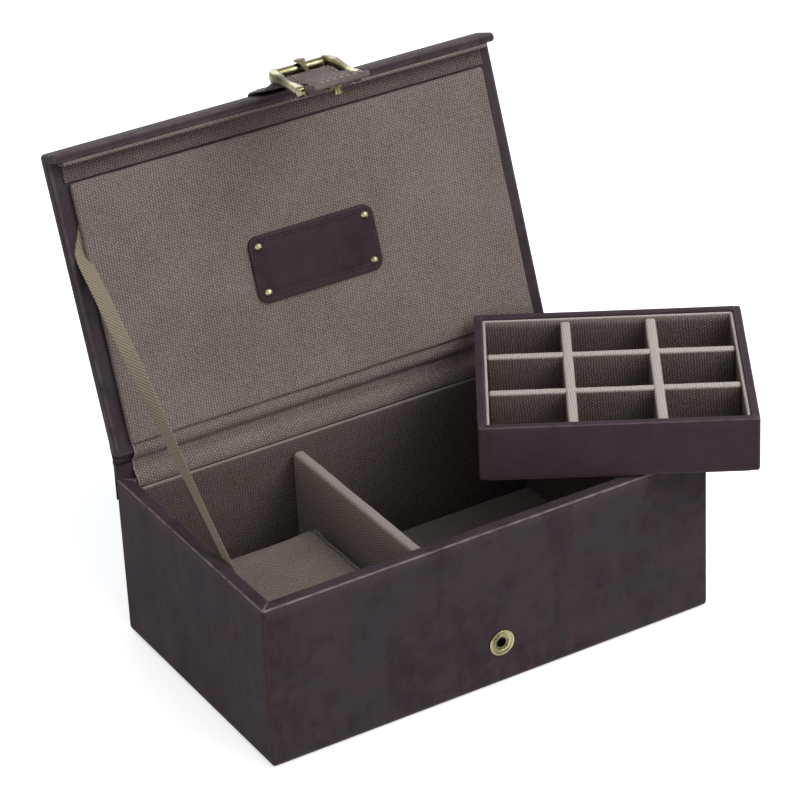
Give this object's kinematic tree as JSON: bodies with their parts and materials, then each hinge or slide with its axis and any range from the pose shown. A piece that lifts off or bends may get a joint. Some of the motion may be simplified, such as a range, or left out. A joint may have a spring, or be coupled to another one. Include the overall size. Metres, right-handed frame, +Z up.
{
  "type": "cufflink display box",
  "caption": "Leather-covered hinged box with a buckled strap, ribbon stay, watch cushion and a loose divided tray for cufflinks.",
  "frame": {"origin": "middle of the case's underside, on the table", "axes": "+X along the front to the right, +Y to the back, +Z up"},
  "size_m": [0.2308, 0.1674, 0.2002],
  "materials": {
    "cover_leather": "satin, distressed",
    "tray_leather": "satin, smooth",
    "plaque_leather": "satin",
    "lining_fabric": "woven canvas",
    "cushion_fabric": "woven canvas",
    "ribbon_twill": "diagonal twill",
    "box_board": "fibreboard",
    "antique_brass": "antique"
  },
  "bodies": {
    "case": {"base_sheet": "box_board", "base_board": "box_board", "front_board": "box_board", "back_board": "box_board", "left_board": "box_board", "right_board": "box_board", "case_leather": "cover_leather", "spine": "cover_leather", "front_lining": "lining_fabric", "back_lining": "lining_fabric", "left_lining": "lining_fabric", "right_lining": "lining_fabric", "floor_lining": "lining_fabric", "divider": "lining_fabric", "ledge_left": "lining_fabric", "ledge_right": "lining_fabric", "snap_eyelet": "antique_brass", "snap_ring": "antique_brass", "hinge_leather": "cover_leather", "hinge_lining": "lining_fabric", "ribbon": "ribbon_twill"},
    "lid": {"lid_board": "box_board", "lip_board": "box_board", "lid_leather": "cover_leather", "lid_lining": "lining_fabric", "lip_lining": "lining_fabric", "plaque": "plaque_leather", "plaque_rivets": "antique_brass", "strap_anchor": "cover_leather", "strap_bend": "cover_leather"},
    "strap_body": {"strap": "cover_leather", "chape": "cover_leather", "buckle_frame": "antique_brass", "buckle_roller": "antique_brass", "buckle_prong": "antique_brass", "snap_stud": "antique_brass"},
    "tray": {"tray_base_sheet": "lining_fabric", "tray_base_board": "box_board", "tray_front_board": "box_board", "tray_back_board": "box_board", "tray_left_board": "box_board", "tray_right_board": "box_board", "tray_leather": "tray_leather", "tray_lining": "lining_fabric", "tray_floor_lining": "lining_fabric", "tray_divider_left": "lining_fabric", "tray_divider_right": "lining_fabric", "tray_cross_front": "lining_fabric", "tray_cross_back": "lining_fabric"},
    "cushion_body": {"cushion": "cushion_fabric"}
  },
  "joints": [
    {"name": "lid_hinge", "type": "hinge", "parent": "case", "child": "lid", "pos_m": [0, 0.0535, 0.0695], "axis": [1, 0, 0], "range_deg": [0, 109.3], "deforming": ["hinge_leather", "hinge_lining", "ribbon"]},
    {"name": "strap_swing", "type": "hinge", "parent": "lid", "child": "strap_body", "pos_m": [0, 0.08952, 0.17418], "axis": [1, 0, 0], "range_deg": [-84, 6], "deforming": ["strap_bend"]},
    {"name": "tray_slide", "type": "slide", "parent": "case", "child": "tray", "axis": [0, -1, 0], "range_m": [0, 0.13]},
    {"name": "cushion_lift", "type": "slide", "parent": "case", "child": "cushion_body", "axis": [0, 0, 1], "range_m": [0, 0.024]}
  ],
  "couplings": [
    {"joint": "tray_slide", "follows": "lid_hinge", "m_per_rad": 0.06814}
  ]
}
